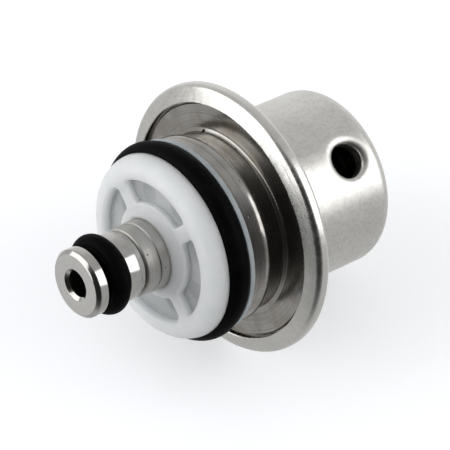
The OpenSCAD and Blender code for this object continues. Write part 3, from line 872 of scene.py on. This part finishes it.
def windows(grow):
    """Outlines of all the windows, made larger all round by grow."""
    return [turned(window_outline(grow), i * math.pi / 2) for i in range(SPOKES)]


def frame_circle(radius):
    """Points round the axis."""
    angles = [2 * math.pi * k / FRAME_STEPS for k in range(FRAME_STEPS)]
    return [(radius * math.cos(a), radius * math.sin(a)) for a in angles]


def frame_ring(bm, radius, z):
    """Vertices round the axis at a height."""
    return [bm.verts.new((x, y, z)) for x, y in frame_circle(radius)]


def closed_edges(start, count):
    """Edges that join points in a closed loop."""
    return [(start + k, start + (k + 1) % count) for k in range(count)]


def flat_faces(points, edges, inner_r, outer_r, holes):
    """Triangles between two radii and outside some holes. Gives the points, the faces and the points
    that each came from."""
    found = geometry.delaunay_2d_cdt(points, edges, [], 0, 1e-6)
    kept = []
    for face in found[2]:
        centre = sum((found[0][v] for v in face), Vector((0, 0))) / len(face)
        if inner_r < centre.length < outer_r and not in_windows(*centre, holes):
            kept.append(face)
    return found[0], kept, found[3]


def frame_front_face(bm, holes):
    """The frame's front, from its bore to its rim. Gives a function that finds its vertices."""
    points, edges, drops = [], [], []
    grows = [0.0, 0.02, 0.07, 0.14, 0.22, EDGE_ROUND]
    stages = [windows(grow) for grow in grows]
    loops = []
    for i in range(SPOKES):
        for grow, stage in zip(grows, stages):
            drop = EDGE_ROUND - math.sqrt(EDGE_ROUND ** 2 - (EDGE_ROUND - grow) ** 2)
            loops.append((stage[i], drop))
    rings = [HUB_BORE + d * HUB_EDGE for d in (0, 0.05, 0.2, 0.5)]
    flare = HUB_FOOT_R - HUB_BORE - HUB_EDGE
    rings += [HUB_BORE + HUB_EDGE + flare * k / 12 for k in range(13)]
    crest = [CREST_R + FRAME_ROUND * math.cos(math.radians(100 - 5 * k)) for k in range(21)]
    rings += [r for r in crest if r > WINDOW_OUT + EDGE_ROUND + 0.05] + [FRAME_R]
    loops += [(frame_circle(r), 0) for r in rings]
    for loop, drop in loops:
        edges += closed_edges(len(points), len(loop))
        points += [Vector(p) for p in loop]
        drops += [drop] * len(loop)
    kept_out = windows(EDGE_ROUND + 0.12)
    spoke_rows = (HUB_R + 0.8, 7.6, 8.2, 8.8, 9.4, 9.9, 10.3, 10.6)
    for r in spoke_rows:
        points += [Vector(p) for p in frame_circle(r) if not in_windows(*p, kept_out)]
    drops += [0] * (len(points) - len(drops))
    flat, faces, sources = flat_faces(points, edges, HUB_BORE, FRAME_R, holes)
    front = []
    for p, source in zip(flat, sources):
        drop = max((drops[s] for s in source), default=0)
        front.append(bm.verts.new((p.x, p.y, frame_front(p.length) - drop)))
    for face in faces:
        bm.faces.new([front[v] for v in face])
    by_place = {(round(v.co.x, 4), round(v.co.y, 4)): v for v in front}
    return lambda loop: [by_place[(round(x, 4), round(y, 4))] for x, y in loop]


def build_filter_frame():
    """The moulded frame: hub, spokes and rounded ring, with every window's edge rounded."""
    holes = windows(0.0)
    bm = bmesh.new()
    front_of = frame_front_face(bm, holes)
    for loop in holes:
        skin(bm, front_of(loop), [bm.verts.new((x, y, Z_FRAME_SEAT)) for x, y in loop])
    seat_in_r = HUB_BORE + BORE_CHAMFER
    seat_out_r = BARREL_R + CLEAR
    seat_in = frame_ring(bm, seat_in_r, Z_FRAME_SEAT)
    seat_out = frame_ring(bm, seat_out_r, Z_FRAME_SEAT)
    bore = front_of(frame_circle(HUB_BORE))
    rim = front_of(frame_circle(FRAME_R))
    bore_chain = [bore, frame_ring(bm, HUB_BORE, Z_FRAME_SEAT + BORE_CHAMFER), seat_in]
    seat_back = frame_ring(bm, seat_out_r, Z_FRAME_BACK)
    rim_back = frame_ring(bm, FRAME_R - BACK_EDGE, Z_FRAME_BACK)
    rim_chain = [seat_out, seat_back, rim_back, rim]
    for chain in (bore_chain, rim_chain):
        for low, high in zip(chain, chain[1:]):
            skin(bm, low, high)
    points, edges = [], []
    for loop in [[v.co.xy for v in seat_in], [v.co.xy for v in seat_out]] + holes:
        edges += closed_edges(len(points), len(loop))
        points += [Vector(p) for p in loop]
    flat, faces, _ = flat_faces(points, edges, seat_in_r, seat_out_r, holes)
    rear = [bm.verts.new((p.x, p.y, Z_FRAME_SEAT)) for p in flat]
    for face in faces:
        bm.faces.new([rear[v] for v in face])
    frame_piece = piece_from(bm, "moulded_filter_frame", BODY, "filter_plastic", 50)
    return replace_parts(frame_piece, "filter_frame")


# Woven screen

SCREEN_PITCH = 0.2
SCREEN_WIRE = 0.05
SCREEN_STEPS = 2
SCREEN_TUCK = 0.4
THREAD_SIDES = 4


def woven_screen_tree():
    """A plain weave of round threads, cut to a ring. Threads along X and along Y pass over and under in
    turn."""
    tree = bpy.data.node_groups.new("woven_screen", "GeometryNodeTree")
    sockets = tree.interface
    sockets.new_socket("Geometry", in_out="OUTPUT", socket_type="NodeSocketGeometry")
    for name in ("Pitch", "Thread radius", "Outer radius", "Inner radius", "Height"):
        sockets.new_socket(name, in_out="INPUT", socket_type="NodeSocketFloat")
    sockets.new_socket("Material", in_out="INPUT", socket_type="NodeSocketMaterial")
    size = add(tree, "NodeGroupInput", out=None).outputs
    ratio = add(tree, "ShaderNodeMath", {0: size["Outer radius"], 1: size["Pitch"]}, operation="DIVIDE")
    side = add(tree, "ShaderNodeMath", {0: ratio}, operation="CEIL")
    reach = add(tree, "ShaderNodeMath", {0: side, 1: size["Pitch"]}, operation="MULTIPLY")
    back = add(tree, "ShaderNodeMath", {0: reach, 1: -1.0}, operation="MULTIPLY")
    step = add(tree, "ShaderNodeMath", {0: size["Pitch"], 1: SCREEN_STEPS}, operation="DIVIDE")
    rows = add(tree, "ShaderNodeMath", {0: side, 1: 2.0, 2: 1.0}, operation="MULTIPLY_ADD")
    doubled = {0: side, 1: 2.0 * SCREEN_STEPS, 2: 1.0}
    beads = add(tree, "ShaderNodeMath", doubled, operation="MULTIPLY_ADD")
    thread_start = add(tree, "ShaderNodeCombineXYZ", {0: back})
    thread_step = add(tree, "ShaderNodeCombineXYZ", {0: step})
    row_start = add(tree, "ShaderNodeCombineXYZ", {1: back})
    row_step = add(tree, "ShaderNodeCombineXYZ", {1: size["Pitch"]})
    along = {"Count": beads, "Start Location": thread_start, "Offset": thread_step}
    thread = add(tree, "GeometryNodeMeshLine", along)
    across = {"Count": rows, "Start Location": row_start, "Offset": row_step}
    places = add(tree, "GeometryNodeMeshLine", across)
    laid = add(tree, "GeometryNodeInstanceOnPoints", {"Points": places, "Instance": thread})
    warp = add(tree, "GeometryNodeRealizeInstances", {0: laid})
    weft = add(tree, "GeometryNodeTransform", {0: warp, "Rotation": (0, 0, math.pi / 2)})
    position = add(tree, "GeometryNodeInputPosition")
    half_turn = add(tree, "ShaderNodeMath", {0: math.pi, 1: size["Pitch"]}, operation="DIVIDE")
    phase = add(tree, "ShaderNodeVectorMath", {0: position, "Scale": half_turn}, operation="SCALE")
    wave = add(tree, "ShaderNodeVectorMath", {0: phase}, operation="COSINE")
    parts = add(tree, "ShaderNodeSeparateXYZ", {0: wave}, out=None).outputs
    both = add(tree, "ShaderNodeMath", {0: parts[0], 1: parts[1]}, operation="MULTIPLY")
    ring = add(tree, "ShaderNodeVectorMath", {0: position}, operation="LENGTH", out="Value")
    beyond = {0: ring, 1: size["Outer radius"]}
    outside = add(tree, "FunctionNodeCompare", beyond, operation="GREATER_THAN")
    within = {0: ring, 1: size["Inner radius"]}
    inside = add(tree, "FunctionNodeCompare", within, operation="LESS_THAN")
    waste = add(tree, "FunctionNodeBooleanMath", {0: outside, 1: inside}, operation="OR")
    joined = add(tree, "GeometryNodeJoinGeometry", out=None)
    for threads, sign in ((warp, 1.0), (weft, -1.0)):
        kept = add(tree, "GeometryNodeDeleteGeometry", {0: threads, 1: waste})
        swing = add(tree, "ShaderNodeMath", {0: size["Thread radius"], 1: sign}, operation="MULTIPLY")
        raised = {0: both, 1: swing, 2: size["Height"]}
        lift = add(tree, "ShaderNodeMath", raised, operation="MULTIPLY_ADD")
        offset = add(tree, "ShaderNodeCombineXYZ", {2: lift})
        waved = add(tree, "GeometryNodeSetPosition", {0: kept, "Offset": offset})
        tree.links.new(waved, joined.inputs[0])
    path = add(tree, "GeometryNodeMeshToCurve", {0: joined.outputs[0]})
    round_thread = {"Resolution": THREAD_SIDES, "Radius": size["Thread radius"]}
    section = add(tree, "GeometryNodeCurvePrimitiveCircle", round_thread)
    swept = {"Curve": path, "Profile Curve": section, "Fill Caps": True}
    solid = add(tree, "GeometryNodeCurveToMesh", swept)
    whole = add(tree, "GeometryNodeRealizeInstances", {0: solid})
    dressed = add(tree, "GeometryNodeSetMaterial", {0: whole, "Material": size["Material"]})
    add(tree, "NodeGroupOutput", {0: dressed}, out=None)
    return tree


def build_screen():
    """The filter's screen, moulded into the frame and seen through its windows."""
    blank = place_new("screen_blank", bpy.data.meshes.new("screen_blank"))
    weave = blank.modifiers.new("weave", "NODES")
    weave.node_group = woven_screen_tree()
    low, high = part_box("filter_screen")
    given = {
        "Pitch": SCREEN_PITCH * MM,
        "Thread radius": SCREEN_WIRE * MM,
        "Outer radius": high.x,
        "Inner radius": (WINDOW_IN - SCREEN_TUCK) * MM,
        "Height": (low.z + high.z) / 2,
        "Material": FINISHES["filter_mesh"],
    }
    for item in weave.node_group.interface.items_tree:
        if item.in_out == "INPUT":
            weave[item.identifier] = given[item.name]
    screen = baked(blank, "woven_screen", BODY, "filter_mesh")
    for polygon in screen.data.polygons:
        polygon.use_smooth = True
    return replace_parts(screen, "filter_screen")


# Spring and diaphragm, copied from the CAD meshes

def merged_copy(node, name, sharp=35):
    """A copy of a CAD node's mesh, merged and smoothed."""
    bm = bmesh.new()
    bm.from_mesh(bpy.data.objects[node].data)
    bmesh.ops.remove_doubles(bm, verts=bm.verts, dist=1e-7)
    mesh = mesh_of(bm, name)
    shade_smooth(mesh, sharp)
    return place_new(name, mesh)


def build_main_spring():
    """The main spring, a merged copy of its CAD mesh with a mesh of its own, riding on the body."""
    spring = merged_copy("main_spring", "coiled_main_spring")
    dress(spring, BODY, "spring_steel")
    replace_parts(spring, "main_spring")
    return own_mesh(spring)


def build_diaphragm():
    """The diaphragm, whose rim sits in the crimp: a merged copy of its CAD mesh, its placing baked in."""
    sheet = merged_copy("diaphragm", "flexing_diaphragm")
    dress(sheet, None, "diaphragm_rubber")
    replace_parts(sheet, "diaphragm")
    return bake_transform(sheet)


INNER_PIECES = {
    "spring_plate": "plated_steel",
    "clamp_plate": "plated_steel",
    "valve_holder": "valve_brass",
    "valve_ball": "ball_steel",
    "ball_retainer": "plated_steel",
    "ball_spring": "spring_steel",
    "spring_seat": "plated_steel",
}


def dress_inner_pieces():
    """The pieces inside keep their own shapes and get their finishes."""
    for node, slot in INNER_PIECES.items():
        mesh = bpy.data.objects[node].data
        mesh.materials.clear()
        mesh.materials.append(FINISHES[slot])


build_cover()
build_housing()
build_nozzle()
build_seal_ring("tube_o_ring", "nozzle_seal_ring", RING_PRESSED)
build_seal_ring("body_o_ring", "body_seal_ring")
build_backup_ring()
build_filter_frame()
build_screen()
build_main_spring()
build_diaphragm()
dress_inner_pieces()


# Camera at the photograph's viewing angle

VIEW_AZIMUTH = math.radians(-92.6)
VIEW_ELEVATION = math.radians(34.6)
VIEW_ROLL = math.radians(156.1)
VIEW_DISTANCE = 450.0
PIXELS_PER_MM = 7.13
TARGET = Vector((0, 0, 20.3))
TARGET_PIXEL = (227.1, 218.15)
SENSOR = 36.0


def view_axes():
    """The directions to the right, up and towards the camera."""
    side = Vector((math.cos(VIEW_AZIMUTH), math.sin(VIEW_AZIMUTH), 0))
    axis = Vector((0, 0, 1))
    towards = math.cos(VIEW_ELEVATION) * side + math.sin(VIEW_ELEVATION) * axis
    along = math.cos(VIEW_ELEVATION) * axis - math.sin(VIEW_ELEVATION) * side
    across = Vector((-side.y, side.x, 0))
    right = math.cos(VIEW_ROLL) * along - math.sin(VIEW_ROLL) * across
    up = -math.cos(VIEW_ROLL) * across - math.sin(VIEW_ROLL) * along
    return right, up, towards


def build_camera():
    """A camera that looks down on the nozzle's side, rolled so that the axis lies as in the
    photograph."""
    right, up, towards = view_axes()
    shift_right = (TARGET_PIXEL[0] - IMAGE_SIZE / 2) / PIXELS_PER_MM
    shift_up = (IMAGE_SIZE / 2 - TARGET_PIXEL[1]) / PIXELS_PER_MM
    place = TARGET + VIEW_DISTANCE * towards - shift_right * right - shift_up * up
    data = bpy.data.cameras.new("camera")
    data.sensor_width = SENSOR
    data.lens = SENSOR * PIXELS_PER_MM * VIEW_DISTANCE / IMAGE_SIZE
    data.clip_start = 0.01
    data.clip_end = 10
    camera = place_new("camera", data)
    turn = Matrix((right, up, towards)).transposed().to_4x4()
    camera.matrix_world = Matrix.Translation(place * MM) @ turn
    bpy.context.scene.camera = camera


build_camera()


# Studio

FLOOR_SIZE = 4.0
FLOOR_GLOW = 0.3
TABLE_TILT = math.radians(53.7)
TABLE_DROP = 14.0
LAMP_DISTANCE = 0.6
CLOTH_DISTANCE = 0.9
DIM_SIDE = (31, -95)
SURROUND_STOPS = ((-1.0, 0.9), (-0.5, 0.6), (-0.2, 0.54), (0.2, 0.54))
CLOTH_STOPS = ((0.32, 0.0), (0.46, 0.4), (0.65, 0.8), (0.88, 0.97))


def around_view(off, turn):
    """The direction that lies off degrees away from the camera's, turned from the image's right."""
    right, up, towards = view_axes()
    off, turn = math.radians(off), math.radians(turn)
    return math.cos(off) * towards + math.sin(off) * (math.cos(turn) * right + math.sin(turn) * up)


def bare_finish(name):
    """A material with an empty tree."""
    material = bpy.data.materials.new(name)
    material.use_nodes = True
    material.node_tree.nodes.clear()
    return material, material.node_tree


def build_floor():
    """A plain white table that the part lies on as in the photograph, on its flange and its closed end.
    Light reaches the part through it, metal shows the pale surround in its place, and from behind it is
    clear."""
    _, up, towards = view_axes()
    normal = math.cos(TABLE_TILT) * up + math.sin(TABLE_TILT) * towards
    bm = bmesh.new()
    bmesh.ops.create_grid(bm, x_segments=1, y_segments=1, size=FLOOR_SIZE / 2)
    floor = place_new("floor", mesh_of(bm, "floor"))
    lying = Vector((0, 0, 1)).rotation_difference(normal).to_matrix().to_4x4()
    floor.matrix_world = Matrix.Translation(-TABLE_DROP * MM * normal) @ lying
    floor.visible_glossy = False
    floor.visible_diffuse = False
    floor.visible_shadow = False
    material, tree = bare_finish("white paper")
    paper = add(tree, "ShaderNodeBsdfDiffuse", {"Color": linear("#f2f4f8")})
    rays = add(tree, "ShaderNodeLightPath", out=None).outputs
    bounced = {0: rays["Is Glossy Ray"], 1: rays["Is Transmission Ray"]}
    mirrored = add(tree, "ShaderNodeMath", bounced, operation="ADD")
    seen = {0: rays["Is Camera Ray"], 1: mirrored}
    shown = add(tree, "ShaderNodeMath", seen, operation="ADD", use_clamp=True)
    white = add(tree, "ShaderNodeMath", {0: shown, 1: FLOOR_GLOW}, operation="MULTIPLY")
    glow = add(tree, "ShaderNodeEmission", {"Color": (1, 1, 1, 1), "Strength": white})
    front = add(tree, "ShaderNodeAddShader", {0: paper, 1: glow})
    behind = add(tree, "ShaderNodeNewGeometry", out="Backfacing")
    clear = add(tree, "ShaderNodeBsdfTransparent")
    mixed = add(tree, "ShaderNodeMixShader", {0: behind, 1: front, 2: clear})
    add(tree, "ShaderNodeOutputMaterial", {0: mixed}, out=None)
    floor.data.materials.append(material)


def build_softbox(name, off, turn, size, radiance):
    """A softbox that faces the part, its second side square to the camera's direction. Its radiance is
    what a mirror would show of it."""
    data = bpy.data.lights.new(name, "AREA")
    data.shape = "RECTANGLE"
    data.size, data.size_y = size
    data.energy = radiance * math.pi * size[0] * size[1]
    lamp = place_new(name, data)
    out = around_view(off, turn)
    inward = around_view(off - 90, turn)
    facing = Matrix((inward, out.cross(inward), out)).transposed().to_4x4()
    lamp.matrix_world = Matrix.Translation(TARGET * MM + out * LAMP_DISTANCE) @ facing
    lamp.visible_camera = False


def grey_by_angle(tree, direction, facing, stops):
    """A grey that changes with the angle between two directions, by stops of cosine and grey."""
    both = {0: direction, 1: facing}
    cosine = add(tree, "ShaderNodeVectorMath", both, operation="DOT_PRODUCT", out="Value")
    level = add(tree, "ShaderNodeMapRange", {0: cosine, 1: -1.0, 2: 1.0, 3: 0.0, 4: 1.0})
    made = add(tree, "ShaderNodeValToRGB", {0: level}, out=None)
    made.color_ramp.interpolation = "EASE"
    elements = made.color_ramp.elements
    while len(elements) < len(stops):
        elements.new(0.5)
    for element, stop in zip(elements, stops):
        element.position = (stop[0] + 1) / 2
    for element, stop in zip(elements, stops):
        element.color = (stop[1], stop[1], stop[1], 1)
    return made.outputs[0]


def build_world():
    """A pale surround, whitest on the side away from the camera."""
    world = bpy.data.worlds.new("studio")
    bpy.context.scene.world = world
    world.use_nodes = True
    tree = world.node_tree
    tree.nodes.clear()
    look = add(tree, "ShaderNodeTexCoord", out="Generated")
    grey = grey_by_angle(tree, look, around_view(*DIM_SIDE), SURROUND_STOPS)
    surround = add(tree, "ShaderNodeBackground", {"Color": grey, "Strength": 1.0})
    add(tree, "ShaderNodeOutputWorld", {0: surround}, out=None)


def build_dark_cloth():
    """A dark cloth on the camera's side, thin at its edge, which gives the bright metal its dark side.
    It only shows in reflections."""
    facing = around_view(*DIM_SIDE)
    turn = Vector((0, 0, 1)).rotation_difference(facing).to_matrix()
    bm = bmesh.new()
    bmesh.ops.create_uvsphere(bm, u_segments=64, v_segments=48, radius=CLOTH_DISTANCE)
    bmesh.ops.rotate(bm, matrix=turn, verts=bm.verts)
    edge = CLOTH_STOPS[0][0] - 0.1
    away = [v for v in bm.verts if v.co.normalized().dot(facing) < edge]
    bmesh.ops.delete(bm, geom=away, context="VERTS")
    bmesh.ops.reverse_faces(bm, faces=bm.faces)
    cloth = place_new("dark_cloth", mesh_of(bm, "dark_cloth"))
    cloth.visible_camera = False
    cloth.visible_diffuse = False
    cloth.visible_shadow = False
    material, tree = bare_finish("black velvet")
    place = add(tree, "ShaderNodeTexCoord", out="Object")
    out = add(tree, "ShaderNodeVectorMath", {0: place}, operation="NORMALIZE")
    cover = grey_by_angle(tree, out, facing, CLOTH_STOPS)
    open_weave = add(tree, "ShaderNodeBsdfTransparent")
    velvet = add(tree, "ShaderNodeBsdfDiffuse", {"Color": linear("#0c0c0d")})
    mixed = add(tree, "ShaderNodeMixShader", {0: cover, 1: open_weave, 2: velvet})
    add(tree, "ShaderNodeOutputMaterial", {0: mixed}, out=None)
    cloth.data.materials.append(material)


build_floor()
build_softbox("left_softbox", 68, 172, (0.72, 0.7), 1.6)
build_softbox("right_softbox", 74, 14, (0.58, 0.46), 1.75)
build_world()
build_dark_cloth()
bpy.context.scene.view_settings.view_transform = "Standard"
